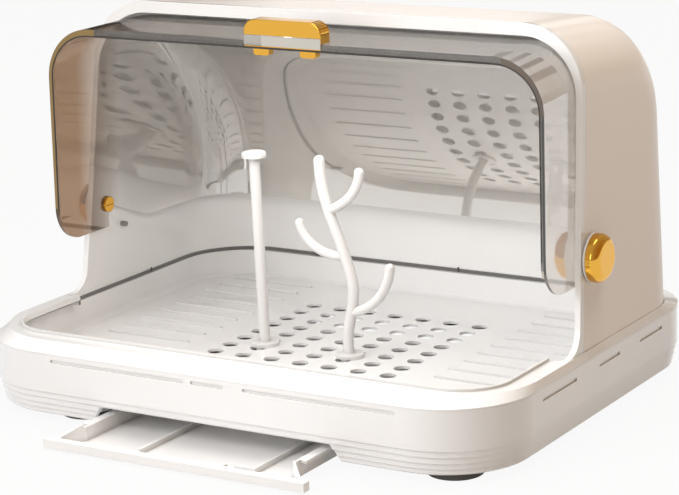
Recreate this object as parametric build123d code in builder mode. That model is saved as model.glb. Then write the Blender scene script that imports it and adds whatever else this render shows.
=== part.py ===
from build123d import *
import math
import os

# Covered dish drainer, in millimetres. X runs right, Y runs to the back, Z runs up.
# The table is at Z = 0 and X = 0 is the middle of the base. The lid is modelled raised
# and the drawer partly pulled out.

os.makedirs("parts", exist_ok=True)

# Clearances
seat_gap = 0.1      # between pieces that rest on each other
side_gap = 0.3      # between nested pieces
turn_gap = 0.08     # radial, between the hinge pin and the lid's ear
slide_gap = 0.4     # between the drawer's flange and its guides

# Base
base_half_w = 212.0
base_half_d = 176.5
base_corner = 63.0
foot_h = 5.2
base_top = 50.0
base_wall = 2.5
base_chamfer = 1.0
across = 2.0 * base_half_w           # reach of what cuts right across the base
step_tops = (9.5, 13.5, 18.0, 22.4)      # heights of the four stepped ridges
step_insets = (3.8, 3.0, 2.0, 1.0)       # how far each ridge sits inside the wall
low_inset = 7.0                          # inside of the stepped part
deck_z = 17.6
deck_t = 2.0
mid_inset = 4.5
mid_top = 25.0
ledge_w = 3.7
ledge_t = 2.0
flange_t = 1.7                           # tray flange in its recess on the ledge
ledge_z = base_top - flange_t - seat_gap
drain_half_w = 78.0                      # opening of the deck over the drawer
drain_front = -118.0
drain_back = 104.0
drain_corner = 12.0

# Grooves pressed in the base wall
groove_z = 45.5
side_groove_z = 42.2
groove_h = 2.6
groove_depth = 1.2
front_grooves = ((-132.9, -20.5), (-14.8, 11.9), (27.1, 144.2))
side_grooves = ((-99.0, -46.7), (-9.7, 23.7), (58.2, 97.5))

# Drawer opening in the front wall
notch_top_z = 16.8
notch_top_half = 93.0
notch_low_half = 101.5

# Feet
foot_left_x = 86.0 - base_half_w
foot_right_x = base_half_w - 42.0
foot_front_y = 33.0 - base_half_d
foot_back_y = base_half_d - 41.5
foot_r = 19.5
foot_pad_r = 20.5
foot_pad_t = 2.5
foot_plug_r = 4.0
foot_plug_h = 5.0
foot_cap_out = 1.5       # the plug's head stands out by this
foot_cap_t = 1.8
foot_round = 1.5

# Rim ring
ring_z = base_top + seat_gap
seat_z = 53.0
ring_land = 0.8          # upright part of the ring's outer edge
shelf_z = 56.0
shelf_t = 2.2
shelf_front = 13.5 - base_half_d     # the shelf slopes down outside this line
shelf_rim = 0.7          # width of the shelf left round the hood
lip_over = 7.0           # the lip stands in over the tray's side walls
lip_over_front = 14.0
lip_corner = 34.0
lip_t = 1.4
lip_h = 2.0
lip_back = -57.0
seat_w = 5.6

# Tray
tray_half_w = base_half_w - 10.0
tray_front = 14.5 - base_half_d
tray_back = base_half_d - 29.5
tray_corner = 44.0
lip_half_w = tray_half_w - lip_over
lip_front = tray_front + lip_over_front
tray_floor = 29.8
tray_t = 2.0
tray_round = 4.0
hole_d = 12.0
hole_cols = 7
hole_rows = 10
hole_dx = 24.08
hole_dy = 19.9
hole_back_y = 80.3
rib_in = 103.2
rib_out = tray_half_w - 25.7
rib_w = 2.0
rib_h = 1.5
rib_count = 13
rib_dy = 21.96
rib_back_y = 127.5

# Hood
hood_half_w = base_half_w - 3.0
hood_back = base_half_d - 21.0
hood_corner = base_corner - 3.0
hood_foot = seat_z + seat_gap
hood_fillet = 47.0
hood_taper = 2.29        # degrees that the sides lean in
hood_draft = math.tan(math.radians(hood_taper))
roof_y = -11.0           # the roof is measured at this line
roof_z = 276.3
roof_slope = 0.07        # fall to the back per millimetre
roof_bend = 74.0         # radius between the roof and the steep part behind it
rear_y = hood_back - 15.6            # a point of the steep part
rear_z = 216.2
rear_tilt = 74.5         # degrees from level
hood_far = -150.0        # the hood is drawn out to here, then cut to its front plane
cut_low = 40.0           # reach of the blocks that cut the hood and the rim
cut_high = 300.0
cut_front = -200.0
front_y = -35.4          # front edge at the hood's foot
front_lean = 0.11        # run back per millimetre of height
shell_t = 1.9
skin_gap = 0.2
liner_t = 1.9
trim_side = 4.3
trim_top = 8.7
trim_depth = 6.0
toe_r = 18.0
toe_end = -56.0

# Lid hinge
hinge_y = -10.4
hinge_z = 118.1
pin_r = 2.5
bush_r = 6.0
bush_flange_r = 9.0
bush_flange_t = 0.4
bush_lift = 0.45         # lets the flat flange clear the hood's draft
head_r = 6.0
head_t = 2.1
head_slot = 1.4
slot_depth = 0.9
small_round = 0.6
pin_seat = 4.0           # depth of the knob's hole for the pin
washer_r = 17.5
washer_t = 1.4
washer_lift = 0.95
washer_round = 0.4
knob_r = 17.0
knob_h = 9.2
knob_round = 6.0

# Lid
ear_gap = 0.9            # between the lid's ear and the hood's inner wall at the hinge
lid_half_w = (hood_half_w - hood_draft * (hinge_z - hood_foot)
              - shell_t - skin_gap - liner_t - ear_gap)
lid_draft = 0.045        # lost half width per millimetre of radius, at the hinge
lid_r = 146.4
rim_half_w = lid_half_w - 0.8        # half width of the free edge at its top
rim_r = 145.0            # height of the free edge above the hinge
lid_corner = 38.0
lid_t = 2.2
lid_turn = 110.0         # degrees that the lid runs back round the hinge
lid_back = 160.0         # the ears' outline is drawn this far behind and above the hinge
lid_reach = 61.7         # from the hinge forward to the free edge
lid_drop = 18.0          # from the hinge down to the ears' lower edge
ear_r = 27.0
bead_w = 5.5             # inward edge at the top
bead_side = 3.4          # inward edge at the sides
bead_t = 2.5
stop_r = 2.0
stop_y = hinge_y + 22.4
stop_in = lid_half_w - 3.3

# Handle
handle_x = 1.5
handle_w = 62.5
handle_low = 140.9       # heights measured from the hinge
handle_high = 160.0
handle_r = 9.0
handle_t = 2.5
handle_depth = 12.0
handle_wall = 1.8
handle_round = 0.8
lug_w = 12.5
lug_low = 134.5
lug_pitch = 37.8
lug_round = 2.0
clip_bar_w = 52.0
clip_bar_h = 2.4
clip_depth = 6.0

# Drawer, shown pulled out
pull_out = 49.5
drawer_front = -base_half_d - pull_out
bar_t = 7.0
bar_z = 1.0
bar_top = 7.2
front_half_w = 104.0
wing_depth = 20.0
wing_top = 14.0
wing_half_w = 98.0       # where the wings meet the bar
wing_bite = 3.0          # the slanting wing's wall, measured along the bar
wing_rise = 2.0          # the wings are level over this last stretch
drawer_half_w = 85.0
drawer_wall = 2.0
drawer_floor_t = 1.6
drawer_top = 12.4
drawer_len = 296.0
drawer_corner = 4.0
bar_overlap = 2.0        # the body runs this far into the bar
rail_reach = 5.0
rail_t = 2.0
part_t = 1.6
part_top = 6.6
part_left_x = -33.0
part_right_x = 58.0
part_short = 40.0        # the partitions end this much shorter than the body
cross_len = 15.0
cross_y = drawer_front + 13.0
fin_x = 36.0
fin_len = 7.0

# Drawer guides
guide_front = -150.0
guide_back = 140.0
guide_x = 91.5
guide_web = 2.0
guide_t = 2.0
guide_low = drawer_top - rail_t - slide_gap - guide_t
guide_foot_in = 86.2
guide_top_out = 101.0

# Posts
post_y = hole_back_y - 5.5 * hole_dy     # between two rows of holes
post_x = -2 * hole_dx
branch_x = hole_dx
disc_r = 10.5
disc_t = 3.0
disc_round = 0.8
plug_r = 2.8
plug_y = 7.2             # from the post's middle
plug_deep = 7.0
rod_r = 4.0
post_h = 145.0
cap_r = 9.0
cap_t = 4.0
cap_round = 1.8
lean_x = -3.1            # how far the rod's top stands off its foot
lean_y = -2.0
twig_r = 3.5


def plan_box(half_w, half_d, corner, z_low, z_high):
    """Upright block with rounded corners centred on the base."""
    with BuildPart() as block:
        with BuildSketch(Plane.XY.offset(z_low)):
            RectangleRounded(2 * half_w, 2 * half_d, corner)
        extrude(amount=z_high - z_low)
    return block.part


def plan_block(half_w, y_low, y_high, corner, z_low, z_high):
    """Upright block with rounded corners between two Y values."""
    with BuildPart() as block:
        with BuildSketch(Plane.XY.offset(z_low)):
            with Locations((0, (y_low + y_high) / 2)):
                RectangleRounded(2 * half_w, y_high - y_low, corner)
        extrude(amount=z_high - z_low)
    return block.part


def span_block(points, reach):
    """Prism along X, from minus reach to plus reach, over a (Y, Z) outline."""
    with BuildPart() as block:
        with BuildSketch(Plane.YZ):
            Polygon(*points, align=None)
        extrude(amount=reach, both=True)
    return block.part


def between(y_low, y_high):
    """All of the space between two Y values, as one block."""
    return span_block(((y_low, 0), (y_high, 0), (y_high, cut_high), (y_low, cut_high)), across)


def roof_outline(side, top):
    """Side outline under the roof: its front, its bend corner and the foot of its steep part."""
    fall = math.tan(math.radians(rear_tilt))
    steep_y = rear_y - side * math.sin(math.radians(rear_tilt))
    steep_z = rear_z - side * math.cos(math.radians(rear_tilt))
    bend_y = (steep_z + fall * steep_y - roof_z + top - roof_slope * roof_y) / (fall - roof_slope)
    bend_z = roof_z - top - roof_slope * (bend_y - roof_y)
    foot_y = steep_y + (steep_z - hood_foot + 1) / fall
    return ((hood_far - 1, roof_z - top - roof_slope * (hood_far - 1 - roof_y)),
            (bend_y, bend_z), (foot_y, hood_foot - 1), (hood_far - 1, hood_foot - 1))


def hood_block(side, top):
    """The hood's outline as a solid, brought in from the sides and from the top."""
    depth = hood_back - side - hood_far
    outline = roof_outline(side, top)
    with BuildPart() as block:
        with BuildSketch(Plane.XY.offset(hood_foot)):
            with Locations((0, hood_far + depth / 2)):
                RectangleRounded(2 * (hood_half_w - side), depth, hood_corner - side)
        extrude(amount=outline[0][1] + 1 - hood_foot, taper=hood_taper)
        with BuildSketch(Plane.YZ) as under_roof:
            Polygon(*outline, align=None)
            fillet(under_roof.vertices().sort_by_distance(outline[1] + (0,))[0], roof_bend - side)
        extrude(amount=across, both=True, mode=Mode.INTERSECT)
        roof = block.faces().filter_by(lambda face: face.normal_at().Z > 0.2)
        loop = [edge for edge in roof.edges() if edge.center().Y > hood_far + 1
                and sum(edge.is_same(other) for face in roof for other in face.edges()) == 1]
        fillet(loop, hood_fillet - side)
    return block.part


def front_at(z):
    """Y of the hood's leaning front plane at a height."""
    return front_y + front_lean * (z - hood_foot)


def ahead_of_front(behind):
    """All of the space ahead of a plane that lies behind the hood's front plane."""
    return span_block(((front_at(cut_low) + behind, cut_low), (front_at(cut_high) + behind, cut_high),
                       (cut_front, cut_high), (cut_front, cut_low)), across)


def hood_side(z):
    """Half width of the hood at a height."""
    return hood_half_w - hood_draft * (z - hood_foot)


def lid_section(inset, ahead):
    """Lid cross section above the hinge, brought in by inset, at a distance ahead of it."""
    share = ahead / lid_reach
    high = lid_r + (rim_r - lid_r) * share - inset
    foot = lid_half_w - inset
    head_start = lid_half_w - lid_draft * lid_r
    head = head_start + (rim_half_w - head_start) * share - inset
    plane = Plane((0, hinge_y - ahead, hinge_z), x_dir=(1, 0, 0), z_dir=(0, -1, 0))
    with BuildSketch(plane) as section:
        Polygon((-foot, 0), (foot, 0), (head, high), (-head, high), align=None)
        fillet(section.vertices().sort_by(Axis.Y)[-2:], lid_corner - inset)
    return section.sketch


def lid_solid(inset, reach):
    """Lid outline: turned behind the hinge, widening a little in front of it."""
    section = lid_section(inset, 0)
    with BuildPart() as solid:
        revolve(section, axis=Axis((0, hinge_y, hinge_z), (-1, 0, 0)), revolution_arc=lid_turn)
        loft([section, lid_section(inset, reach)])
        with Locations((0, hinge_y - reach, hinge_z)):
            Box(2 * (lid_half_w - inset), reach + 1, lid_drop + 2,
                align=(Align.CENTER, Align.MIN, Align.MAX))
    return solid.part


# Base body: stepped wall, deck over the drawer and pads for the feet
foot_spots = [(x, y) for x in (foot_left_x, foot_right_x) for y in (foot_front_y, foot_back_y)]
with BuildPart() as base_body:
    step_foot = foot_h
    for top, inset in zip(step_tops, step_insets):
        add(plan_box(base_half_w - inset, base_half_d - inset, base_corner - inset, step_foot, top))
        step_foot = top
    add(plan_box(base_half_w, base_half_d, base_corner, step_foot, base_top))
    chamfer(base_body.faces().sort_by(Axis.Z)[0].outer_wire().edges(), base_chamfer)
    add(plan_box(base_half_w - low_inset, base_half_d - low_inset, base_corner - low_inset,
                 foot_h, deck_z), mode=Mode.SUBTRACT)
    add(plan_box(base_half_w - mid_inset, base_half_d - mid_inset, base_corner - mid_inset,
                 deck_z + deck_t, mid_top), mode=Mode.SUBTRACT)
    add(plan_box(base_half_w - base_wall, base_half_d - base_wall, base_corner - base_wall,
                 mid_top, ledge_z - ledge_t), mode=Mode.SUBTRACT)
    add(plan_box(base_half_w - base_wall - ledge_w, base_half_d - base_wall - ledge_w,
                 base_corner - base_wall - ledge_w, ledge_z - ledge_t, ledge_z), mode=Mode.SUBTRACT)
    add(plan_box(base_half_w - base_wall, base_half_d - base_wall, base_corner - base_wall,
                 ledge_z, base_top), mode=Mode.SUBTRACT)
    with BuildSketch(Plane.XY.offset(deck_z)):
        with Locations((0, (drain_front + drain_back) / 2)):
            RectangleRounded(2 * drain_half_w, drain_back - drain_front, drain_corner)
    extrude(amount=deck_t, mode=Mode.SUBTRACT)
    with BuildSketch(Plane.XZ.offset(base_half_d + 1)):
        Polygon((-notch_low_half, foot_h - 1), (notch_low_half, foot_h - 1),
                (notch_top_half, notch_top_z), (-notch_top_half, notch_top_z), align=None)
    extrude(amount=-(low_inset + 2), mode=Mode.SUBTRACT)
    for start, end in front_grooves:
        with BuildSketch(Plane.XZ.offset(base_half_d - groove_depth)):
            with Locations(((start + end) / 2, groove_z)):
                SlotOverall(end - start, groove_h)
        extrude(amount=groove_depth + 1, mode=Mode.SUBTRACT)
    for start, end in side_grooves:
        for side in (-1, 1):
            with Locations((side * base_half_w, (start + end) / 2, side_groove_z)):
                Box(2 * groove_depth, end - start, groove_h, mode=Mode.SUBTRACT)
    with BuildSketch(Plane.XY.offset(foot_h)):
        with Locations(*foot_spots):
            Circle(foot_pad_r)
    extrude(amount=deck_z - foot_h)
    with BuildSketch(Plane.XY.offset(foot_h + foot_pad_t)):
        with Locations(*foot_spots):
            Circle(foot_pad_r - base_wall)
    extrude(amount=deck_z - foot_h - foot_pad_t, mode=Mode.SUBTRACT)
    with BuildSketch(Plane.XY.offset(foot_h)):
        with Locations(*foot_spots):
            Circle(foot_plug_r + seat_gap)
    extrude(amount=foot_pad_t, mode=Mode.SUBTRACT)
base_body.part.label = "base_body"


def make_foot(x, y, label):
    """Rubber foot: a low round pad with a mushroom plug that holds it in the base."""
    with BuildPart() as foot:
        with BuildSketch(Plane.XY):
            with Locations((x, y)):
                Circle(foot_r)
        extrude(amount=foot_h - seat_gap)
        fillet(foot.faces().sort_by(Axis.Z)[0].edges(), foot_round)
        with BuildSketch(Plane.XY.offset(foot_h - seat_gap)):
            with Locations((x, y)):
                Circle(foot_plug_r)
        extrude(amount=foot_plug_h)
        with BuildSketch(Plane.XY.offset(foot_h + foot_pad_t + seat_gap)):
            with Locations((x, y)):
                Circle(foot_plug_r + foot_cap_out)
        extrude(amount=foot_cap_t)
    foot.part.label = label
    return foot.part


feet = [make_foot(foot_left_x, foot_front_y, "foot_front_left"),
        make_foot(foot_right_x, foot_front_y, "foot_front_right"),
        make_foot(foot_left_x, foot_back_y, "foot_back_left"),
        make_foot(foot_right_x, foot_back_y, "foot_back_right")]

# Rim ring: seat for the hood behind, shelf with an upstanding lip in front
pocket_half_w = hood_half_w + skin_gap
pocket_back = hood_back + skin_gap
shelf_back = pocket_back + shelf_rim
with BuildPart() as rim_ring:
    add(plan_box(base_half_w, base_half_d, base_corner, ring_z, ring_z + ring_land))
    with BuildSketch(Plane.XY.offset(ring_z + ring_land)):
        RectangleRounded(2 * base_half_w, 2 * base_half_d, base_corner)
    with BuildSketch(Plane.XY.offset(shelf_z)):
        with Locations((0, (shelf_front + shelf_back) / 2)):
            RectangleRounded(2 * (pocket_half_w + shelf_rim), shelf_back - shelf_front,
                             hood_corner + skin_gap + shelf_rim)
    loft()
    add(plan_block(pocket_half_w - seat_w, toe_end, pocket_back - seat_w, hood_corner - seat_w,
                   ring_z, shelf_z), mode=Mode.SUBTRACT)
    with BuildSketch(Plane.XY.offset(ring_z)):
        with Locations((0, toe_end)):
            Rectangle(2 * (pocket_half_w - seat_w), (hood_back - toe_end) / 2,
                      align=(Align.CENTER, Align.MIN))
    extrude(amount=shelf_z - ring_z, mode=Mode.SUBTRACT)
    add(plan_block(pocket_half_w, hood_far, pocket_back, hood_corner + skin_gap, seat_z, shelf_z)
        & between(toe_end - skin_gap, base_half_d), mode=Mode.SUBTRACT)
    add(plan_block(lip_half_w, lip_front, 0, lip_corner, ring_z, shelf_z), mode=Mode.SUBTRACT)
    add(plan_block(pocket_half_w - shelf_t, shelf_front + shelf_t, 0, hood_corner - 2 * shelf_t,
                   ring_z, shelf_z - shelf_t)
        & between(-base_half_d, toe_end - 3), mode=Mode.SUBTRACT)
    add((plan_block(lip_half_w + lip_t, lip_front - lip_t, 0, lip_corner + lip_t,
                    shelf_z - shelf_t, shelf_z + lip_h)
         - plan_block(lip_half_w, lip_front, 0, lip_corner, shelf_z - shelf_t, shelf_z + lip_h))
        & between(-base_half_d, lip_back))
rim_ring.part.label = "rim_ring"

# Drain tray: hangs on the base ledge by its flange
hole_spots = [((col - (hole_cols - 1) / 2) * hole_dx, hole_back_y - row * hole_dy)
              for col in range(hole_cols) for row in range(hole_rows)]
rib_spots = [(side * (rib_in + rib_out) / 2, rib_back_y - row * rib_dy)
             for side in (-1, 1) for row in range(rib_count)]
with BuildPart() as drain_tray:
    add(plan_block(tray_half_w + tray_t, tray_front - tray_t, tray_back + tray_t,
                   tray_corner + tray_t, tray_floor - tray_t, base_top))
    add(plan_box(base_half_w - base_wall - side_gap, base_half_d - base_wall - side_gap,
                 base_corner - base_wall - side_gap, base_top - flange_t, base_top))
    add(plan_block(tray_half_w, tray_front, tray_back, tray_corner, tray_floor, base_top),
        mode=Mode.SUBTRACT)
    fillet(drain_tray.faces().filter_by(Axis.Z).group_by(Axis.Z)[1].edges(), tray_round)
    with BuildSketch(Plane.XY.offset(tray_floor - tray_t)):
        with Locations(*hole_spots):
            Circle(hole_d / 2)
    extrude(amount=tray_t, mode=Mode.SUBTRACT)
    with BuildSketch(Plane.XY.offset(tray_floor)):
        with Locations(*rib_spots):
            SlotOverall(rib_out - rib_in, rib_w)
    extrude(amount=rib_h)
drain_tray.part.label = "drain_tray"

# Hood: cream shell, white liner with the front trim
shell_cut = ahead_of_front(trim_depth + skin_gap)
liner_cut = ahead_of_front(trim_depth)
with BuildPart() as toe_cut:
    with BuildSketch(Plane.YZ) as toe_face:
        Polygon((front_at(shelf_z), shelf_z), (front_at(cut_high), cut_high),
                (cut_front, cut_high), (cut_front, shelf_z), align=None)
        fillet(toe_face.vertices().sort_by_distance((front_at(shelf_z), shelf_z, 0))[0], toe_r)
    extrude(amount=across, both=True)
    with BuildSketch(Plane.YZ):
        Polygon((toe_end, cut_low), (toe_end, cut_high), (cut_front, cut_high),
                (cut_front, cut_low), align=None)
    extrude(amount=across, both=True)

with BuildPart() as hood_shell:
    add(hood_block(0, 0))
    add(hood_block(shell_t, shell_t), mode=Mode.SUBTRACT)
    add(shell_cut, mode=Mode.SUBTRACT)
    with Locations(Location((0, hinge_y, hinge_z), (0, 90, 0))):
        Cylinder(bush_r + skin_gap, 2 * across, mode=Mode.SUBTRACT)
hood_shell.part.label = "hood_shell"

skin = shell_t + skin_gap
with BuildPart() as hood_liner:
    add(hood_block(skin, skin))
    add(hood_block(skin + liner_t, skin + liner_t), mode=Mode.SUBTRACT)
    add(liner_cut, mode=Mode.SUBTRACT)
    add((hood_block(0, 0) - hood_block(trim_side, trim_top)) & liner_cut - toe_cut.part)
    with Locations(Location((0, hinge_y, hinge_z), (0, 90, 0))):
        Cylinder(bush_r + skin_gap, 2 * across, mode=Mode.SUBTRACT)
hood_liner.part.label = "hood_liner"

# Lid: clear scoop with two ears, raised
lid_outline = ((hinge_y - lid_reach, hinge_z - lid_drop), (hinge_y + lid_back, hinge_z - lid_drop),
               (hinge_y + lid_back, hinge_z + lid_back), (hinge_y - lid_reach, hinge_z + lid_back))
with BuildPart() as lid_panel:
    add(lid_solid(0, lid_reach))
    add(lid_solid(lid_t, lid_reach - bead_t), mode=Mode.SUBTRACT)
    with BuildSketch(Plane((0, hinge_y - lid_reach, hinge_z), x_dir=(1, 0, 0),
                           z_dir=(0, -1, 0))) as mouth:
        mouth_low = lid_half_w - bead_side
        mouth_high = rim_half_w - bead_side
        Polygon((-mouth_low, -lid_drop - 5), (mouth_low, -lid_drop - 5),
                (mouth_high, rim_r - bead_w), (-mouth_high, rim_r - bead_w), align=None)
        fillet(mouth.vertices().sort_by(Axis.Y)[-2:], lid_corner - bead_w)
    extrude(amount=-(bead_t + 1), mode=Mode.SUBTRACT)
    with BuildSketch(Plane.YZ) as ear_face:
        Polygon(*lid_outline, align=None)
        fillet(ear_face.vertices().sort_by_distance(lid_outline[0] + (0,))[0], ear_r)
    extrude(amount=across, both=True, mode=Mode.INTERSECT)
    with Locations(Location((0, hinge_y, hinge_z), (0, 90, 0))):
        Cylinder(pin_r + turn_gap, 2 * across, mode=Mode.SUBTRACT)
    with Locations((handle_x, hinge_y - lid_reach, hinge_z + handle_low)):
        Box(handle_w + 2 * side_gap, handle_t + 2 * skin_gap, handle_high - handle_low,
            align=(Align.CENTER, Align.MIN, Align.MIN), mode=Mode.SUBTRACT)
lid_panel.part.label = "lid_panel"

# Handle: shallow pan standing up from the lid's free edge
edge_y = hinge_y - lid_reach
with BuildPart() as lid_handle:
    with BuildSketch(Plane((handle_x, edge_y, hinge_z), x_dir=(1, 0, 0), z_dir=(0, -1, 0))) as pan:
        with Locations((0, (handle_low + handle_high) / 2)):
            Rectangle(handle_w, handle_high - handle_low)
        fillet(pan.vertices().sort_by(Axis.Y)[-2:], handle_r)
    extrude(amount=-handle_depth)
    with BuildSketch(Plane((handle_x, edge_y + handle_t, hinge_z), x_dir=(1, 0, 0),
                           z_dir=(0, -1, 0))) as hollow:
        with Locations((0, (handle_low + handle_high) / 2 - handle_wall)):
            Rectangle(handle_w - 2 * handle_wall, handle_high - handle_low)
        fillet(hollow.vertices().sort_by(Axis.Y)[-2:], handle_r - handle_wall)
    extrude(amount=-handle_depth, mode=Mode.SUBTRACT)
    with Locations((handle_x, edge_y + handle_t, hinge_z + rim_r + side_gap)):
        Box(handle_w + 2, handle_depth, handle_high, mode=Mode.SUBTRACT,
            align=(Align.CENTER, Align.MIN, Align.MAX))
    fillet(lid_handle.faces().sort_by(Axis.Y)[0].edges().filter_by(GeomType.CIRCLE), handle_round)
lid_handle.part.label = "lid_handle"

clip_y = edge_y + bead_t + side_gap
with BuildPart() as handle_clip:
    with Locations((handle_x, clip_y, hinge_z + rim_r - lid_t - skin_gap)):
        Box(clip_bar_w, clip_depth, clip_bar_h, align=(Align.CENTER, Align.MIN, Align.MAX))
    for side in (-1, 1):
        with Locations((handle_x + side * lug_pitch / 2, clip_y,
                        hinge_z + rim_r - lid_t - skin_gap)):
            Box(lug_w, clip_depth, rim_r - lid_t - skin_gap - lug_low,
                align=(Align.CENTER, Align.MIN, Align.MAX))
    fillet(handle_clip.faces().group_by(Axis.Z)[0].edges().filter_by(Axis.Y), lug_round)
handle_clip.part.label = "handle_clip"

# Hinge hardware, drawn for the right side and mirrored to the left
wall_x = hood_side(hinge_z)
liner_x = wall_x - skin - liner_t
hinge_axis = Plane((0, hinge_y, hinge_z), x_dir=(0, 1, 0), z_dir=(1, 0, 0))
with BuildPart() as washer_right:
    with BuildSketch(hinge_axis.offset(wall_x + washer_lift)):
        Circle(washer_r)
        Circle(pin_r + seat_gap, mode=Mode.SUBTRACT)
    extrude(amount=washer_t)
    fillet(washer_right.edges().filter_by(GeomType.CIRCLE).sort_by(SortBy.RADIUS)[-2:], washer_round)
washer_right.part.label = "washer_right"
knob_foot = wall_x + washer_lift + washer_t + seat_gap
with BuildPart() as knob_right:
    with BuildSketch(hinge_axis.offset(knob_foot)):
        Circle(knob_r)
    extrude(amount=knob_h)
    fillet(knob_right.faces().sort_by(Axis.X)[-1].edges(), knob_round)
    with BuildSketch(hinge_axis.offset(knob_foot)):
        Circle(pin_r + seat_gap)
    extrude(amount=pin_seat, mode=Mode.SUBTRACT)
knob_right.part.label = "knob_right"
ear_x = lid_half_w - lid_t
with BuildPart() as pivot_pin_right:
    with BuildSketch(hinge_axis.offset(ear_x - side_gap - head_t)):
        Circle(head_r)
    extrude(amount=head_t)
    fillet(pivot_pin_right.faces().sort_by(Axis.X)[0].edges(), small_round)
    with Locations((ear_x - side_gap - head_t, hinge_y, hinge_z)):
        Box(2 * slot_depth, 2 * head_r, head_slot, mode=Mode.SUBTRACT)
    with BuildSketch(hinge_axis.offset(ear_x - side_gap)):
        Circle(pin_r)
    extrude(amount=knob_foot + pin_seat - skin_gap - ear_x + side_gap)
pivot_pin_right.part.label = "pivot_pin_right"
with BuildPart() as bush_right:
    with BuildSketch(hinge_axis.offset(wall_x + bush_lift)):
        Circle(bush_flange_r)
    extrude(amount=bush_flange_t)
    with BuildSketch(hinge_axis.offset(liner_x)):
        Circle(bush_r)
    extrude(amount=wall_x + bush_lift - liner_x)
    with BuildSketch(hinge_axis.offset(liner_x)):
        Circle(pin_r + seat_gap)
    extrude(amount=2 * (wall_x - liner_x), mode=Mode.SUBTRACT)
bush_right.part.label = "bush_right"
stop_z = hinge_z - lid_drop - side_gap - stop_r
stop_wall = hood_side(stop_z) - skin - liner_t
with BuildPart() as lid_stop_right:
    with BuildSketch(Plane((0, stop_y, stop_z), x_dir=(0, 1, 0), z_dir=(1, 0, 0)).offset(stop_in)):
        Circle(stop_r)
    extrude(amount=stop_wall - stop_in - skin_gap)
    fillet(lid_stop_right.faces().sort_by(Axis.X)[0].edges(), small_round)
lid_stop_right.part.label = "lid_stop_right"


def to_left(part, label):
    """Mirror image of a right-hand piece, under its own name."""
    twin = mirror(part, about=Plane.YZ)
    twin.label = label
    return twin


left_side = [to_left(washer_right.part, "washer_left"), to_left(knob_right.part, "knob_left"),
             to_left(pivot_pin_right.part, "pivot_pin_left"), to_left(bush_right.part, "bush_left"),
             to_left(lid_stop_right.part, "lid_stop_left")]

# Drawer: low front bar with sloping wings, side walls with flanges, partitions
body_front = drawer_front + bar_t
body_back = body_front + drawer_len
wing_back = drawer_front + wing_depth
wing_crest = wing_back - wing_rise
floor_z = bar_z + drawer_floor_t
with BuildPart() as drip_drawer:
    add(plan_block(drawer_half_w, body_front - bar_overlap, body_back, drawer_corner,
                   bar_z, drawer_top))
    add(plan_block(drawer_half_w - drawer_wall, drawer_front - bar_overlap, body_back - drawer_wall,
                   drawer_corner - drawer_wall, floor_z, drawer_top), mode=Mode.SUBTRACT)
    with BuildSketch(Plane.XY.offset(bar_z)):
        Polygon((-front_half_w, drawer_front), (front_half_w, drawer_front),
                (front_half_w, body_front), (wing_half_w, body_front), (drawer_half_w, wing_back),
                (-drawer_half_w, wing_back), (-wing_half_w, body_front),
                (-front_half_w, body_front), align=None)
    extrude(amount=wing_top - bar_z)
    with BuildSketch(Plane.XY.offset(floor_z)):
        Polygon((wing_bite - wing_half_w, body_front), (wing_half_w - wing_bite, body_front),
                (drawer_half_w - drawer_wall, wing_back + 1), (drawer_wall - drawer_half_w, wing_back + 1),
                align=None)
    extrude(amount=wing_top, mode=Mode.SUBTRACT)
    add(span_block(((drawer_front - 1, bar_top), (body_front, bar_top), (wing_crest, wing_top),
                    (wing_crest, cut_low), (drawer_front - 1, cut_low)), across),
        mode=Mode.SUBTRACT)
    for side in (-1, 1):
        with Locations((side * (drawer_half_w + rail_reach / 2), body_front + wing_depth,
                        drawer_top)):
            Box(rail_reach, drawer_len - wing_depth, rail_t,
                align=(Align.CENTER, Align.MIN, Align.MAX))
    for x in (part_left_x, part_right_x):
        with Locations((x, cross_y, floor_z)):
            Box(part_t, drawer_len - part_short, part_top - floor_z,
                align=(Align.CENTER, Align.MIN, Align.MIN))
    with Locations((part_right_x, cross_y, floor_z)):
        Box(cross_len, part_t, part_top - floor_z, align=(Align.MAX, Align.MIN, Align.MIN))
    with Locations((fin_x, body_front, floor_z)):
        Box(part_t, fin_len, part_top - floor_z, align=(Align.CENTER, Align.MIN, Align.MIN))
drip_drawer.part.label = "drip_drawer"

# Drawer guides under the deck
with BuildPart() as guide_right:
    with BuildSketch(Plane.XZ.offset(-guide_front)):
        with Locations((guide_x, guide_low)):
            Rectangle(guide_web, deck_z - seat_gap - guide_low, align=(Align.MIN, Align.MIN))
        with Locations((guide_foot_in, guide_low)):
            Rectangle(guide_x + guide_web - guide_foot_in, guide_t, align=(Align.MIN, Align.MIN))
        with Locations((guide_x, deck_z - seat_gap)):
            Rectangle(guide_top_out - guide_x, guide_t, align=(Align.MIN, Align.MAX))
    extrude(amount=guide_front - guide_back)
guide_right.part.label = "guide_right"
guide_left = to_left(guide_right.part, "guide_left")

# Posts: a plain rod and a twig, each plugged in two tray holes
def post_foot(x):
    """Round foot disc with the two plugs that stand in neighbouring tray holes."""
    with BuildPart() as foot:
        with BuildSketch(Plane.XY.offset(tray_floor + seat_gap)):
            with Locations((x, post_y)):
                Circle(disc_r)
        extrude(amount=disc_t)
        fillet(foot.faces().sort_by(Axis.Z)[-1].edges(), disc_round)
        with BuildSketch(Plane.XY.offset(tray_floor + seat_gap)):
            with Locations((x, post_y - plug_y), (x, post_y + plug_y)):
                Circle(plug_r)
        extrude(amount=-plug_deep)
    return foot.part


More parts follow.
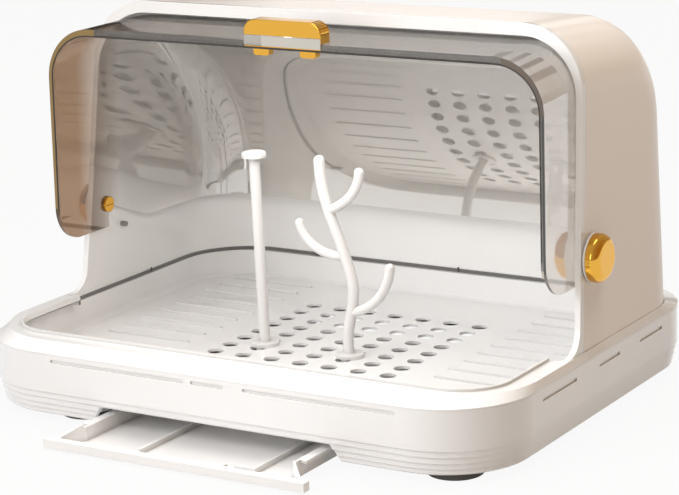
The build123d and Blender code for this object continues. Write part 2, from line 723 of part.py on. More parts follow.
rod_plane = Plane((post_x, post_y, tray_floor + disc_t / 2), z_dir=(lean_x, lean_y, post_h))
with BuildPart() as straight_post:
    add(post_foot(post_x))
    with BuildSketch(rod_plane):
        Circle(rod_r)
    extrude(amount=post_h - cap_t - disc_t / 2)
    with BuildSketch(rod_plane.offset(post_h - cap_t - disc_t / 2)):
        Circle(cap_r)
    extrude(amount=cap_t)
    fillet(straight_post.faces().sort_by(Axis.Z)[-1].edges(), cap_round)
straight_post.part.label = "straight_post"

stem_path = ((branch_x, 31.0), (24.6, 55.0), (28.4, 79.0), (24.2, 98.0), (15.0, 122.2),
             (8.1, 139.9), (3.7, 157.7), (2.6, 172.0))
upper_twig = ((9.8, 136.5), (18.0, 140.5), (28.4, 149.0), (35.2, 166.0))
left_twig = ((21.5, 104.5), (6.9, 104.8), (-6.2, 111.3), (-15.0, 125.0))
lower_twig = ((26.5, 63.5), (42.4, 69.9), (53.4, 82.2), (58.7, 98.9))


def twig_solid(points, radius):
    """Round bar along a smooth line through (X, Z) points in the post's plane, ends rounded."""
    spots = [(x, post_y, z) for x, z in points]
    with BuildPart() as twig:
        with BuildLine():
            line = Spline(*spots)
        with BuildSketch(Plane(line @ 0, z_dir=line % 0)):
            Circle(radius)
        sweep(path=line)
        with Locations(spots[-1]):
            Sphere(radius)
    return twig.part


with BuildPart() as branch_post:
    add(post_foot(branch_x))
    add(twig_solid(stem_path, rod_r))
    for twig_path in (upper_twig, left_twig, lower_twig):
        add(twig_solid(twig_path, twig_r))
branch_post.part.label = "branch_post"

# The origin of the files is the middle of the whole footprint, with the drawer out
file_shift = Location((0, pull_out / 2, 0))
pieces = [base_body.part, rim_ring.part, drain_tray.part, hood_shell.part, hood_liner.part,
          lid_panel.part, lid_handle.part, handle_clip.part, washer_right.part, knob_right.part,
          pivot_pin_right.part, bush_right.part, lid_stop_right.part, drip_drawer.part,
          guide_right.part, guide_left, straight_post.part, branch_post.part]
for piece in pieces + feet + left_side:
    placed = piece.moved(file_shift)
    placed.label = piece.label
    export_step(placed, "parts/" + piece.label + ".step")
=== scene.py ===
import math

import bmesh
import bpy
from mathutils import Euler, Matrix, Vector


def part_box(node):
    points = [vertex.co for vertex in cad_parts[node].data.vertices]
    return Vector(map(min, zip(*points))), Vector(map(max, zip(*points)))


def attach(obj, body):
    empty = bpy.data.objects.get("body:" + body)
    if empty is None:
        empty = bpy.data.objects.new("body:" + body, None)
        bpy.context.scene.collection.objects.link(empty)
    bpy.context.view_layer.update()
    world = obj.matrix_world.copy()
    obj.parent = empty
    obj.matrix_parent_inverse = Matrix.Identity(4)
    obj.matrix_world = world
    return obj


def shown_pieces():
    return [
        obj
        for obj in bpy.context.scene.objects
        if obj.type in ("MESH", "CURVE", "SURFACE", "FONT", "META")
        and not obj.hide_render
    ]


# Covered dish drainer. The moulded, clear and plated pieces of the frame get their finishes
# here, some with painted shade and painted light in them, and thin pieces are added on the lid, its
# grip and the joint inside the hood:
# a bright strip on the grip, painted edge tones and a painted dark line on the lid, and dark boxes of
# painted shadow in the joint.
# Metres, X right, Y back, Z up.

CAMERA_SPOT = (0.88225, -1.44692, 0.51999)
CAMERA_TURN = (76.2937, 1.5062, 30.5707)
CAMERA_LENS = 128.566

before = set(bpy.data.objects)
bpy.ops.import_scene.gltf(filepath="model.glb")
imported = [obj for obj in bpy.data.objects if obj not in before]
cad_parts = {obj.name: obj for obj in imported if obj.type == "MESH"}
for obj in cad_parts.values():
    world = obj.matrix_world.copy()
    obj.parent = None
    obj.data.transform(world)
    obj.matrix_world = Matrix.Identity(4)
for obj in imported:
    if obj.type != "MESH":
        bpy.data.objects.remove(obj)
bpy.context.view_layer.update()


# Small helpers for node trees

def new_material(name):
    """A new material with its nodes, its links and its main shader."""
    mat = bpy.data.materials.new(name)
    mat.use_nodes = True
    return mat, mat.node_tree.nodes, mat.node_tree.links, mat.node_tree.nodes["Principled BSDF"]


def new_group(name, inputs, outputs):
    """An empty shader group with the named float inputs and the named outputs."""
    group = bpy.data.node_groups.new(name, "ShaderNodeTree")
    for label in inputs:
        group.interface.new_socket(label, in_out="INPUT", socket_type="NodeSocketFloat")
    for label, kind in outputs:
        group.interface.new_socket(label, in_out="OUTPUT", socket_type=kind)
    return group, group.nodes.new("NodeGroupInput"), group.nodes.new("NodeGroupOutput")


def place(nodes, group, **values):
    """A copy of a shader group in a material, with its own values."""
    node = nodes.new("ShaderNodeGroup")
    node.node_tree = group
    for label, value in values.items():
        node.inputs[label].default_value = value
    return node


def math_node(nodes, links, operation, first, second):
    """A Math node on two sockets or numbers."""
    node = nodes.new("ShaderNodeMath")
    node.operation = operation
    for slot, value in enumerate((first, second)):
        if isinstance(value, (int, float)):
            node.inputs[slot].default_value = value
        else:
            links.new(value, node.inputs[slot])
    return node.outputs[0]


def tone_ramp(nodes, links, factor, dark, light, start=0.3, end=0.7):
    """A ramp between two colours, driven by a mask."""
    ramp = nodes.new("ShaderNodeValToRGB")
    ramp.color_ramp.elements[0].position = start
    ramp.color_ramp.elements[0].color = (*dark, 1)
    ramp.color_ramp.elements[1].position = end
    ramp.color_ramp.elements[1].color = (*light, 1)
    links.new(factor, ramp.inputs["Fac"])
    return ramp.outputs["Color"]


def mix_colour(nodes, links, factor, under, over):
    """Colour under, covered by colour over where factor is 1."""
    mix = nodes.new("ShaderNodeMix")
    mix.data_type = "RGBA"
    links.new(factor, mix.inputs["Factor"])
    for socket, value in (("A", under), ("B", over)):
        target = [s for s in mix.inputs if s.name == socket and s.type == "RGBA"][0]
        if isinstance(value, tuple):
            target.default_value = (*value, 1)
        else:
            links.new(value, target)
    return [s for s in mix.outputs if s.type == "RGBA"][0]


def map_range(nodes, links, value, source, target=(0.0, 1.0)):
    """A value moved from one range to another, clamped at both ends."""
    node = nodes.new("ShaderNodeMapRange")
    node.inputs["From Min"].default_value, node.inputs["From Max"].default_value = source
    node.inputs["To Min"].default_value, node.inputs["To Max"].default_value = target
    links.new(value, node.inputs["Value"])
    return node.outputs["Result"]


# Shared effects

DRIFT_SCALE = 7.0        # patches of the slow tone drift, per metre
FACING_IN = -0.01        # normals below this look towards the middle of the object


def mottle_group():
    """Slow tone drift and a fine grain, for moulded and plated faces."""
    group, entry, leave = new_group("surface_mottle", ("Grain Scale",),
                                    (("Tone", "NodeSocketFloat"), ("Grain", "NodeSocketFloat")))
    coord = group.nodes.new("ShaderNodeTexCoord")
    slow = group.nodes.new("ShaderNodeTexNoise")
    slow.inputs["Scale"].default_value = DRIFT_SCALE
    slow.inputs["Detail"].default_value = 3.0
    fine = group.nodes.new("ShaderNodeTexNoise")
    fine.inputs["Detail"].default_value = 2.0
    group.links.new(coord.outputs["Object"], slow.inputs["Vector"])
    group.links.new(coord.outputs["Object"], fine.inputs["Vector"])
    group.links.new(entry.outputs["Grain Scale"], fine.inputs["Scale"])
    group.links.new(slow.outputs["Fac"], leave.inputs["Tone"])
    group.links.new(fine.outputs["Fac"], leave.inputs["Grain"])
    return group


def crease_shade_group():
    """Mask of grooves and inner corners, where light reaches least, for painted shade."""
    group, entry, leave = new_group("crease_shade", ("Reach", "Depth"), (("Mask", "NodeSocketFloat"),))
    near = group.nodes.new("ShaderNodeAmbientOcclusion")
    near.samples = 6
    near.only_local = True
    group.links.new(entry.outputs["Reach"], near.inputs["Distance"])
    closed = math_node(group.nodes, group.links, "SUBTRACT", 1.0, near.outputs["AO"])
    mask = math_node(group.nodes, group.links, "MULTIPLY", closed, entry.outputs["Depth"])
    group.links.new(mask, leave.inputs["Mask"])
    return group


def inner_band_group():
    """Mask of faces between two heights that look towards the middle of the object."""
    group, entry, leave = new_group("inner_band", ("Low", "High", "Front"),
                                    (("Mask", "NodeSocketFloat"),))
    nodes, links = group.nodes, group.links
    coord = nodes.new("ShaderNodeTexCoord")
    split = nodes.new("ShaderNodeSeparateXYZ")
    inward = nodes.new("ShaderNodeVectorMath")
    inward.operation = "DOT_PRODUCT"
    links.new(coord.outputs["Object"], split.inputs[0])
    links.new(coord.outputs["Object"], inward.inputs[0])
    links.new(coord.outputs["Normal"], inward.inputs[1])
    above = math_node(nodes, links, "GREATER_THAN", split.outputs["Z"], entry.outputs["Low"])
    below = math_node(nodes, links, "LESS_THAN", split.outputs["Z"], entry.outputs["High"])
    behind = math_node(nodes, links, "GREATER_THAN", split.outputs["Y"], entry.outputs["Front"])
    inner = math_node(nodes, links, "LESS_THAN", inward.outputs["Value"], FACING_IN)
    band = math_node(nodes, links, "MULTIPLY", above, below)
    side = math_node(nodes, links, "MULTIPLY", behind, inner)
    links.new(math_node(nodes, links, "MULTIPLY", band, side), leave.inputs["Mask"])
    return group


def outline_group():
    """How far a point lies inside a plate with two rounded upper corners, and how near its top."""
    group, entry, leave = new_group("inside_outline", ("Half Width", "Top", "Corner"),
                                    (("Inset", "NodeSocketFloat"), ("Rise", "NodeSocketFloat")))
    nodes, links = group.nodes, group.links
    coord = nodes.new("ShaderNodeTexCoord")
    split = nodes.new("ShaderNodeSeparateXYZ")
    links.new(coord.outputs["Object"], split.inputs[0])
    corner = entry.outputs["Corner"]
    out_x = math_node(nodes, links, "ABSOLUTE", split.outputs["X"], 0.0)
    out_x = math_node(nodes, links, "SUBTRACT", out_x, entry.outputs["Half Width"])
    out_x = math_node(nodes, links, "ADD", out_x, corner)
    out_z = math_node(nodes, links, "SUBTRACT", split.outputs["Z"], entry.outputs["Top"])
    out_z = math_node(nodes, links, "ADD", out_z, corner)
    far_x = math_node(nodes, links, "MAXIMUM", out_x, 0.0)
    far_z = math_node(nodes, links, "MAXIMUM", out_z, 0.0)
    squares = math_node(nodes, links, "ADD", math_node(nodes, links, "MULTIPLY", far_x, far_x),
                        math_node(nodes, links, "MULTIPLY", far_z, far_z))
    reach = math_node(nodes, links, "SQRT", squares, 0.0)
    inner = math_node(nodes, links, "MINIMUM", math_node(nodes, links, "MAXIMUM", out_x, out_z), 0.0)
    reach = math_node(nodes, links, "ADD", reach, inner)
    links.new(math_node(nodes, links, "SUBTRACT", corner, reach), leave.inputs["Inset"])
    rise = math_node(nodes, links, "DIVIDE", far_z, corner)
    links.new(rise, leave.inputs["Rise"])
    return group


MOTTLE = mottle_group()
CREASE = crease_shade_group()
INNER_BAND = inner_band_group()
INSIDE = outline_group()

# painted shade: the colour that grooves and inner corners are darkened towards
CREASE_SHADE_TONE = (0.36, 0.345, 0.33)
CREASE_REACH = 0.004
GRAIN_LIFT = 0.0003                      # height of the plastics' fine grain
DULL_SHARES = (0.85, 1.2)                # the grain moves the roughness between these shares
COAT_ROUGH = 0.05
PLASTIC_IOR = 1.5
PLATE_GRAIN = 900.0

# painted shadow: a dark band for the shade in the gap between the hood's lower edge and the rim
SEAM_SHADOW_TONE = (0.13, 0.125, 0.12)
SEAM_LOW, SEAM_HIGH = 0.0495, 0.0535     # heights of the joint line round the tray
SEAM_FRONT = -0.034                      # the line is dark only behind the hood's front

GREY_SMOKE = (0.93, 0.91, 0.885)
# painted shade and warm reflection: the brown that the clear lid shows out in front of the hood
PAINTED_BROWN_LOOK = (0.39, 0.235, 0.13)
# painted light and shade on the lid's cut edge: olive at the left, grey elsewhere, and a dark line
OLIVE_EDGE = (0.30, 0.19, 0.06)
GREY_EDGE = (0.22, 0.21, 0.20)
EDGE_SHADE_LINE = (0.008, 0.007, 0.006)
LAMP_TINT = (0.86, 0.84, 0.81)           # what the lid leaves of a lamp's light
OUTSIDE_Y = (0.03, -0.02)                # from under the hood to out in front of it
LEFT_X = (0.20, -0.19)                   # from the right ear to the left ear
RIGHT_BROWN = 0.25                       # share of the brown that the right ear keeps
OLIVE_X = (-0.155, -0.180)               # where the cut edge turns olive
DRIFT_RANGE = (0.94, 1.0)
CLEAR_GRAIN = 30.0
UPWARD = (0.75, 0.97)                    # normals' Z, from the lid's bend to its flat top
TOP_SHARE = 0.35                         # how much of the lid's flat top shows
CLEAR_IOR, CLEAR_METAL, CLEAR_ROUGH = 1.75, 0.22, 0.015


# Finishes

def plastic(name, dark, light, rough, coat, grain=420.0, bump=0.03, crease=0.8):
    """Glossy moulded plastic whose tone drifts a little, with painted shade in its grooves."""
    mat, nodes, links, shader = new_material(name)
    mottle = place(nodes, MOTTLE, **{"Grain Scale": grain})
    # painted shade in grooves and inner corners, as deep as crease asks
    shade = place(nodes, CREASE, Reach=CREASE_REACH, Depth=crease)
    tone = tone_ramp(nodes, links, mottle.outputs["Tone"], dark, light)
    colour = mix_colour(nodes, links, shade.outputs["Mask"], tone, CREASE_SHADE_TONE)
    grain_value = mottle.outputs["Grain"]
    spread = map_range(nodes, links, grain_value, (0.0, 1.0),
                       [rough * share for share in DULL_SHARES])
    lift = nodes.new("ShaderNodeBump")
    lift.inputs["Strength"].default_value = bump
    lift.inputs["Distance"].default_value = GRAIN_LIFT
    links.new(grain_value, lift.inputs["Height"])
    links.new(colour, shader.inputs["Base Color"])
    links.new(spread, shader.inputs["Roughness"])
    links.new(lift.outputs["Normal"], shader.inputs["Normal"])
    shader.inputs["IOR"].default_value = PLASTIC_IOR
    shader.inputs["Coat Weight"].default_value = coat
    shader.inputs["Coat Roughness"].default_value = COAT_ROUGH
    return mat


def shadow_seamed_plastic(name, dark, light, rough, coat):
    """The rim's white, with a dark band of painted shadow along its inner edge behind the hood, where
    the joint's gap is.
    """
    mat = plastic(name, dark, light, rough, coat)
    nodes, links = mat.node_tree.nodes, mat.node_tree.links
    shader = nodes["Principled BSDF"]
    tone = shader.inputs["Base Color"].links[0].from_socket
    # painted shadow of the joint's gap, on inward faces between two heights
    band = place(nodes, INNER_BAND, Low=SEAM_LOW, High=SEAM_HIGH, Front=SEAM_FRONT)
    links.new(mix_colour(nodes, links, band.outputs["Mask"], tone, SEAM_SHADOW_TONE),
              shader.inputs["Base Color"])
    return mat


def lid_tint(nodes, links, across, depth):
    """Grey under the hood, brown on the part that stands out in front of it; the brown is painted
    shade and warm reflection on one clear plastic, kept weaker at the right.
    """
    outside = map_range(nodes, links, depth, OUTSIDE_Y)
    leftward = map_range(nodes, links, across, LEFT_X, (RIGHT_BROWN, 1.0))
    mottle = place(nodes, MOTTLE, **{"Grain Scale": CLEAR_GRAIN})
    drift = map_range(nodes, links, mottle.outputs["Tone"], (0.0, 1.0), DRIFT_RANGE)
    brown = math_node(nodes, links, "MULTIPLY", outside, leftward)
    brown = math_node(nodes, links, "MULTIPLY", brown, drift)
    return mix_colour(nodes, links, brown, GREY_SMOKE, PAINTED_BROWN_LOOK)


def lid_edge_tone(nodes, links, across):
    """Painted light and shade on the cut edge: grey, olive at its left, with a dark line of painted
    shade along its inner side.
    """
    far_left = map_range(nodes, links, across, OLIVE_X)
    tone = mix_colour(nodes, links, far_left, GREY_EDGE, OLIVE_EDGE)
    outline = place(nodes, INSIDE, **{"Half Width": LID_EDGE_HALF, "Top": LID_EDGE_TOP,
                                      "Corner": LID_CORNER})
    line_at = map_range(nodes, links, outline.outputs["Rise"], (0.0, 1.0),
                        (LINE_SIDE, LINE_TOP))
    inmost = math_node(nodes, links, "GREATER_THAN", outline.outputs["Inset"], line_at)
    return mix_colour(nodes, links, inmost, tone, EDGE_SHADE_LINE)


def smoke_clear(name):
    """Clear lid plastic that mirrors the tray and lets the lamps through to it."""
    mat, nodes, links, shader = new_material(name)
    coord = nodes.new("ShaderNodeTexCoord")
    split = nodes.new("ShaderNodeSeparateXYZ")
    upward = nodes.new("ShaderNodeSeparateXYZ")
    links.new(coord.outputs["Object"], split.inputs[0])
    links.new(coord.outputs["Normal"], upward.inputs[0])
    across, depth = split.outputs["X"], split.outputs["Y"]
    edge = math_node(nodes, links, "LESS_THAN", depth, LID_EDGE_Y)
    tone = mix_colour(nodes, links, edge, lid_tint(nodes, links, across, depth),
                      lid_edge_tone(nodes, links, across))
    shown = map_range(nodes, links, upward.outputs["Z"], UPWARD, (1.0, TOP_SHARE))
    links.new(tone, shader.inputs["Base Color"])
    links.new(shown, shader.inputs["Alpha"])
    shader.inputs["Roughness"].default_value = CLEAR_ROUGH
    shader.inputs["IOR"].default_value = CLEAR_IOR
    shader.inputs["Metallic"].default_value = CLEAR_METAL
    shader.inputs["Transmission Weight"].default_value = 1.0
    through = nodes.new("ShaderNodeBsdfTransparent")
    through.inputs["Color"].default_value = (*LAMP_TINT, 1)
    path = nodes.new("ShaderNodeLightPath")
    mix = nodes.new("ShaderNodeMixShader")
    links.new(path.outputs["Is Shadow Ray"], mix.inputs[0])
    links.new(shader.outputs[0], mix.inputs[1])
    links.new(through.outputs[0], mix.inputs[2])
    links.new(mix.outputs[0], nodes["Material Output"].inputs["Surface"])
    return mat


def plated(name, dark, light, rough_low, rough_high):
    """Polished plating with a faint cloud in its tone and gloss."""
    mat, nodes, links, shader = new_material(name)
    mottle = place(nodes, MOTTLE, **{"Grain Scale": PLATE_GRAIN})
    spread = map_range(nodes, links, mottle.outputs["Grain"], (0.0, 1.0), (rough_low, rough_high))
    links.new(tone_ramp(nodes, links, mottle.outputs["Tone"], dark, light),
              shader.inputs["Base Color"])
    links.new(spread, shader.inputs["Roughness"])
    shader.inputs["Metallic"].default_value = 1.0
    return mat


lid_low, lid_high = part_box("lid_panel")
LID_EDGE_Y = lid_low[1] + 0.0006         # just behind the lid's cut edge
LID_EDGE_HALF = lid_high[0] - 0.0008     # half width of the cut edge at its top
LID_EDGE_TOP = lid_high[2] - 0.0014
LID_CORNER = 0.038
LINE_SIDE, LINE_TOP = 0.0024, 0.0044     # depth of the dark line at the sides and at the top
LID_FOOT_Z = lid_low[2] + 0.027          # where the ears' rounded front corners begin
BEAD_SIDE, BEAD_TOP = 0.0034, 0.0055     # width of the cut edge at its sides and its top
MOUTH_CORNER = 0.0325
EDGE_LINE_W = 0.0010                     # width of the dark line inside the cut edge
STRIP_PROUD, STRIP_SUNK = 0.00012, 0.0002
SKIN = 0.0001                            # the edge's strips stay this far inside the outline
OLIVE_END_X = 0.158                      # the olive ends this far left of the middle
BROWN_END_TURN = 80.0                    # degrees of the right corner that are brown

BODY_TONES = ((0.79, 0.785, 0.78), (0.83, 0.825, 0.82))
# painted light: a touch lighter than BODY_TONES, to lift the rim and the hood's liner round the shaded
# inside of the hood
LIFTED_INNER_TONES = ((0.80, 0.795, 0.785), (0.84, 0.835, 0.825))

WHITE = plastic("white_gloss", *BODY_TONES, 0.24, 0.45)
BASE_WHITE = plastic("base_white", *BODY_TONES, 0.2, 1.0, crease=0.3)
RIM_WHITE = shadow_seamed_plastic("rim_white", *LIFTED_INNER_TONES, 0.24, 0.45)
LINER = plastic("liner_white", *LIFTED_INNER_TONES, 0.22, 0.5, crease=0.3)
CREAM = plastic("cream_gloss", (0.83, 0.765, 0.70), (0.86, 0.795, 0.73), 0.34, 0.25,
                grain=900.0, bump=0.01, crease=0.2)
POST = plastic("post_white", (0.70, 0.69, 0.68), (0.75, 0.74, 0.73), 0.3, 0.3, crease=0.5)
DARK = plastic("dark_rubber", (0.05, 0.046, 0.042), (0.075, 0.07, 0.065), 0.65, 0.0,
               grain=600.0, bump=0.2, crease=0.0)
CLEAR = smoke_clear("smoke_clear")
GOLD = plated("gold", (0.77, 0.40, 0.055), (0.85, 0.48, 0.08), 0.06, 0.13)
STEEL = plated("polished_steel", (0.60, 0.56, 0.50), (0.70, 0.66, 0.60), 0.06, 0.12)
# painted light and shade on the lid's cut edge: olive at the left, brown round the right corner
OLIVE = plastic("olive_edge", (0.20, 0.125, 0.03), (0.25, 0.16, 0.05), 0.3, 0.3, crease=0.0)
BROWN = plastic("brown_edge", (0.10, 0.075, 0.055), (0.14, 0.105, 0.08), 0.3, 0.3, crease=0.0)
PEG = plastic("peg_grey", (0.22, 0.21, 0.20), (0.28, 0.27, 0.26), 0.5, 0.0, crease=0.0)
# painted shadow: near black for the shade in the snap slots and the dark line inside the lid's cut
# edge
SHADOW_BLACK = plastic("joint_shadow", (0.03, 0.028, 0.026), (0.05, 0.047, 0.044), 0.8, 0.0, crease=0.0)

FINISHES = {
    "base_body": BASE_WHITE, "rim_ring": RIM_WHITE, "drain_tray": WHITE, "hood_liner": LINER,
    "hood_shell": CREAM, "lid_panel": CLEAR, "lid_handle": GOLD, "handle_clip": GOLD,
    "washer_left": WHITE, "washer_right": WHITE, "knob_left": GOLD, "knob_right": GOLD,
    "pivot_pin_left": GOLD, "pivot_pin_right": GOLD, "bush_left": WHITE, "bush_right": WHITE,
    "lid_stop_left": PEG, "lid_stop_right": PEG, "guide_left": WHITE, "guide_right": WHITE,
    "drip_drawer": WHITE, "straight_post": POST, "branch_post": POST,
    "foot_front_left": DARK, "foot_front_right": DARK,
    "foot_back_left": DARK, "foot_back_right": DARK,
}


def dress(finishes):
    """Gives each piece of the frame its finish."""
    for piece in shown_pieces():
        if piece.name in finishes:
            piece.data.materials.clear()
            piece.data.materials.append(finishes[piece.name])


dress(FINISHES)


# Added pieces

def mesh_piece(name, points, faces, finish, body):
    """A closed mesh with a finish, riding on a body."""
    mesh = bpy.data.meshes.new(name)
    mesh.from_pydata(points, [], faces)
    work = bmesh.new()
    work.from_mesh(mesh)
    bmesh.ops.recalc_face_normals(work, faces=work.faces)
    work.to_mesh(mesh)
    work.free()
    mesh.materials.append(finish)
    piece = bpy.data.objects.new(name, mesh)
    bpy.context.collection.objects.link(piece)
    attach(piece, body)
    return piece


def prism(section, start, end):
    """Points and faces of a bar along X over a closed (Y, Z) section."""
    count = len(section)
    points = [(x, y, z) for x in (start, end) for y, z in section]
    faces = [tuple(range(count)), tuple(range(2 * count - 1, count - 1, -1))]
    faces += [(i, (i + 1) % count, count + (i + 1) % count, count + i) for i in range(count)]
    return points, faces


def add_handle_strip():
    """Bright bar along the lower front of the gold grip, with a faint crown."""
    box_low, box_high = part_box("lid_handle")
    bar_low, bar_height, crown = box_low[2] + 0.0006, 0.0076, 0.0001
    front = box_low[1] - 0.0001
    back = front + 0.0003
    end_gap = 0.0002
    steps = 12
    section = [(back, bar_low), (back, bar_low + bar_height)]
    for step in range(steps + 1):
        turn = math.pi * step / steps
        section.append((front - crown * math.sin(turn),
                        bar_low + bar_height / 2 * (1 + math.cos(turn))))
    points, faces = prism(section, box_low[0] + end_gap, box_high[0] - end_gap)
    strip = mesh_piece("handle_strip", points, faces, STEEL, "lid")
    for polygon in strip.data.polygons:
        polygon.use_smooth = len(polygon.vertices) == 4


def add_snap_slots():
    """Dark boxes of painted shadow at the slots of the snap catches along the joint inside the hood.
    """
    ring_low, ring_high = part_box("rim_ring")
    side_wall, back_wall = 0.0084, 0.0264
    inner_x = ring_high[0] - side_wall
    inner_y = ring_high[1] - back_wall
    half, thick, foot, top = 0.0007, 0.0005, 0.0502, 0.0542
    side_slot_y = (ring_low[1] + ring_high[1]) / 2 + 0.049
    back_slot_x = (-0.111, 0.018)
    spots = [("x", -1, side_slot_y), ("x", 1, side_slot_y)] + [("y", 1, x) for x in back_slot_x]
    for index, (axis, sign, along) in enumerate(spots):
        if axis == "x":
            near, far = sign * inner_x, sign * (inner_x - thick)
            xs, ys = (min(near, far), max(near, far)), (along - half, along + half)
        else:
            xs, ys = (along - half, along + half), (inner_y - thick, inner_y)
        points = [(x, y, z) for x in xs for y in ys for z in (foot, top)]
        faces = [(0, 1, 3, 2), (4, 6, 7, 5), (0, 4, 5, 1), (2, 3, 7, 6), (0, 2, 6, 4), (1, 5, 7, 3)]
        mesh_piece("snap_slot_%d" % (index + 1), points, faces, SHADOW_BLACK, "base")


def edge_path(side_inset, top_inset, corner, last=90.0):
    """Points (X, Z) round the right corner of the lid's cut edge, up to a turn in degrees."""
    half, top = LID_EDGE_HALF - side_inset, LID_EDGE_TOP - top_inset
    steps = 12
    turns = [math.radians(last * step / steps) for step in range(steps + 1)]
    return [(half - corner + corner * math.cos(turn), top - corner + corner * math.sin(turn))
            for turn in turns]


def outer_path(last=90.0):
    """The corner's path just inside the lid's outline."""
    return edge_path(SKIN, SKIN, LID_CORNER - SKIN, last)


def line_path(last=90.0):
    """The corner's path where the coloured edge ends and the dark line begins."""
    return edge_path(BEAD_SIDE - EDGE_LINE_W, BEAD_TOP - EDGE_LINE_W,
                     MOUTH_CORNER + EDGE_LINE_W, last)


def mirrored(path):
    """The same path on the left side."""
    return [(-x, z) for x, z in path]


def edge_strip(name, outer, inner, finish):
    """Thin strip on the lid's cut edge between two paths of (X, Z) points."""
    front, back = lid_low[1] - STRIP_PROUD, lid_low[1] + STRIP_SUNK
    points = []
    for (out_x, out_z), (in_x, in_z) in zip(outer, inner):
        points += [(out_x, front, out_z), (in_x, front, in_z),
                   (in_x, back, in_z), (out_x, back, out_z)]
    faces = [(0, 1, 2, 3), tuple(range(len(points) - 1, len(points) - 5, -1))]
    for start in range(0, len(points) - 4, 4):
        for side in range(4):
            after = (side + 1) % 4
            faces.append((start + side, start + after, start + 4 + after, start + 4 + side))
    mesh_piece(name, points, faces, finish, "lid")


def add_edge_line():
    """Dark line of painted shade along the inner side of the lid's cut edge, from foot to foot."""
    foot_x = lid_high[0] - BEAD_SIDE
    outer = [(foot_x + EDGE_LINE_W, LID_FOOT_Z)] + line_path()
    inner = [(foot_x, LID_FOOT_Z)] + edge_path(BEAD_SIDE, BEAD_TOP, MOUTH_CORNER)
    edge_strip("lid_edge_line", outer + mirrored(outer[::-1]), inner + mirrored(inner[::-1]), SHADOW_BLACK)


def add_edge_tones():
    """Painted light and shade: olive cut edge at the lid's left side and corner, brown round its right
    corner.
    """
    foot_x = lid_high[0] - BEAD_SIDE + EDGE_LINE_W
    outer, inner = outer_path(), line_path()
    outer = [(lid_high[0] - SKIN, LID_FOOT_Z)] + outer + [(OLIVE_END_X, outer[-1][1])]
    inner = [(foot_x, LID_FOOT_Z)] + inner + [(OLIVE_END_X, inner[-1][1])]
    edge_strip("lid_edge_left", mirrored(outer), mirrored(inner), OLIVE)
    edge_strip("lid_edge_right", outer_path(BROWN_END_TURN), line_path(BROWN_END_TURN), BROWN)


add_handle_strip()
add_snap_slots()
add_edge_line()
add_edge_tones()


# Camera, light and floor

FILL_LEFT = (0.49, 0.50, 0.525)
FILL_RIGHT = (0.365, 0.23, 0.11)
FILL_TURN = (-0.3, 0.85)         # the sky's X direction, from neutral to warm
GLOSS_DARK = (0.12, 0.11, 0.10)
GLOSS_LIGHT = (1.0, 1.0, 1.0)
GLOSS_RIGHT = (0.40, 0.25, 0.12)
PANEL_SCALE, PANEL_WAVER = 1.6, 1.5
PANEL_RISE = (0.25, 0.6)         # where a panel begins and where it is fully bright
FLOOR_SIZE, FLOOR_GAP = 40.0, 0.0005
FLOOR_TONE, FLOOR_ROUGH = (0.52, 0.50, 0.48), 0.9
FLOOR_GLOW = 0.93                # share of the floor's white that keeps out shadows

PLAIN, NEAR_PLAIN = (1.0, 1.0, 1.0), (1.0, 0.99, 0.98)
SOFT_WARM, WARM, SHADE_WARM = (1.0, 0.985, 0.965), (1.0, 0.96, 0.91), (1.0, 0.985, 0.97)
MIDDLE = (0, 0, 0.12)


def add_camera():
    """The camera that was fitted to the photo."""
    data = bpy.data.cameras.new("photo_camera")
    data.sensor_width = 36.0
    data.lens = CAMERA_LENS
    data.clip_start, data.clip_end = 0.05, 50.0
    camera = bpy.data.objects.new("photo_camera", data)
    camera.location = CAMERA_SPOT
    camera.rotation_euler = Euler([math.radians(a) for a in CAMERA_TURN], "XYZ")
    bpy.context.collection.objects.link(camera)
    bpy.context.scene.camera = camera


def add_area(name, spot, aim, size, power, colour, mirrored=True):
    """A soft square light at a spot, aimed at a point."""
    data = bpy.data.lights.new(name, "AREA")
    data.size = size
    data.energy = power
    data.color = colour
    light = bpy.data.objects.new(name, data)
    light.location = spot
    direction = Vector(aim) - Vector(spot)
    light.rotation_euler = direction.to_track_quat("-Z", "Y").to_euler()
    light.visible_camera = False
    light.visible_transmission = False
    light.visible_glossy = mirrored
    bpy.context.collection.objects.link(light)


def add_background(nodes, colour):
    """A background shader of a plain colour, or of a colour from other nodes."""
    node = nodes.new("ShaderNodeBackground")
    node.inputs["Strength"].default_value = 1.0
    if isinstance(colour, tuple):
        node.inputs["Color"].default_value = (*colour, 1)
    else:
        node.id_data.links.new(colour, node.inputs["Color"])
    return node.outputs[0]


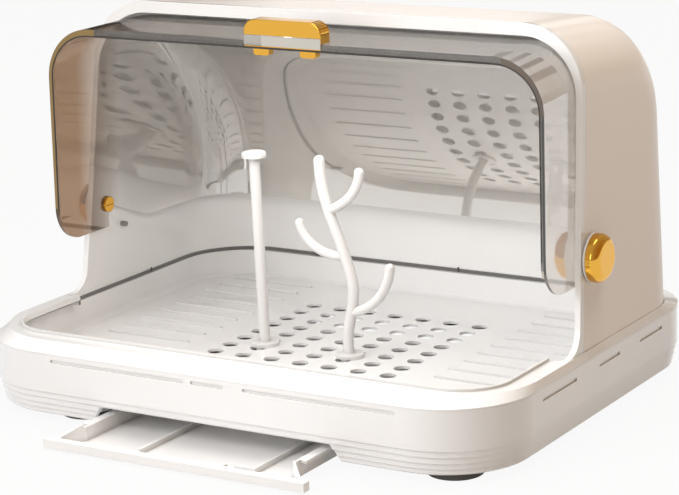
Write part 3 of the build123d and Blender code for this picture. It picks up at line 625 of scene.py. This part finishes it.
def add_world():
    """White to the eye; light that falls off and warms to the right; panels in the gloss."""
    world = bpy.data.worlds.new("studio")
    bpy.context.scene.world = world
    world.use_nodes = True
    nodes, links = world.node_tree.nodes, world.node_tree.links
    nodes.clear()
    out = nodes.new("ShaderNodeOutputWorld")
    coord = nodes.new("ShaderNodeTexCoord")
    split = nodes.new("ShaderNodeSeparateXYZ")
    links.new(coord.outputs["Generated"], split.inputs[0])
    rightward = map_range(nodes, links, split.outputs["X"], FILL_TURN)
    fill = mix_colour(nodes, links, rightward, FILL_LEFT, FILL_RIGHT)
    panels = nodes.new("ShaderNodeTexWave")
    panels.wave_type = "BANDS"
    panels.bands_direction = "X"
    panels.inputs["Scale"].default_value = PANEL_SCALE
    panels.inputs["Distortion"].default_value = PANEL_WAVER
    links.new(coord.outputs["Generated"], panels.inputs["Vector"])
    gloss = tone_ramp(nodes, links, panels.outputs["Fac"], GLOSS_DARK, GLOSS_LIGHT, *PANEL_RISE)
    gloss = mix_colour(nodes, links, rightward, gloss, GLOSS_RIGHT)
    path = nodes.new("ShaderNodeLightPath")
    seen = math_node(nodes, links, "MAXIMUM", path.outputs["Is Camera Ray"],
                     path.outputs["Is Transmission Ray"])
    mirrored = nodes.new("ShaderNodeMixShader")
    links.new(path.outputs["Is Glossy Ray"], mirrored.inputs[0])
    links.new(add_background(nodes, fill), mirrored.inputs[1])
    links.new(add_background(nodes, gloss), mirrored.inputs[2])
    whole = nodes.new("ShaderNodeMixShader")
    links.new(seen, whole.inputs[0])
    links.new(mirrored.outputs[0], whole.inputs[1])
    links.new(add_background(nodes, (1.0, 1.0, 1.0)), whole.inputs[2])
    links.new(whole.outputs[0], out.inputs["Surface"])


def add_floor():
    """A pale floor that shows near white and keeps a faint shadow under the drainer."""
    bpy.ops.mesh.primitive_plane_add(size=FLOOR_SIZE, location=(0, 0, -FLOOR_GAP))
    floor = bpy.context.active_object
    floor.name = "floor"
    mat, nodes, links, shader = new_material("floor_white")
    shader.inputs["Base Color"].default_value = (*FLOOR_TONE, 1)
    shader.inputs["Roughness"].default_value = FLOOR_ROUGH
    glow = nodes.new("ShaderNodeEmission")
    glow.inputs["Strength"].default_value = 1.0
    path = nodes.new("ShaderNodeLightPath")
    seen = math_node(nodes, links, "MAXIMUM", path.outputs["Is Camera Ray"],
                     path.outputs["Is Transmission Ray"])
    seen = math_node(nodes, links, "MAXIMUM", seen, path.outputs["Is Glossy Ray"])
    amount = math_node(nodes, links, "MULTIPLY", seen, FLOOR_GLOW)
    mix = nodes.new("ShaderNodeMixShader")
    links.new(amount, mix.inputs[0])
    links.new(shader.outputs[0], mix.inputs[1])
    links.new(glow.outputs[0], mix.inputs[2])
    links.new(mix.outputs[0], nodes["Material Output"].inputs["Surface"])
    floor.data.materials.append(mat)


add_camera()
add_world()
add_floor()
add_area("key", (-1.3, -1.9, 1.7), MIDDLE, 1.4, 18.0, PLAIN, False)
add_area("front", (-0.55, -2.35, 0.8), MIDDLE, 1.0, 14.0, PLAIN)
add_area("top", (-0.2, 0.1, 2.2), (0, 0, 0.2), 1.2, 11.0, SOFT_WARM)
add_area("fore", (0.02, -0.40, 0.40), (0.0, 0.02, 0.05), 0.3, 0.8, NEAR_PLAIN, False)
add_area("shoulder", (0.36, 0.10, 0.74), (0.2, 0.06, 0.25), 0.25, 1.5, WARM, False)
add_area("under_hood", (0.03, -0.04, 0.235), (0.03, -0.04, 0.0), 0.2, 0.30, SHADE_WARM, False)

bpy.context.scene.view_settings.view_transform = "Standard"
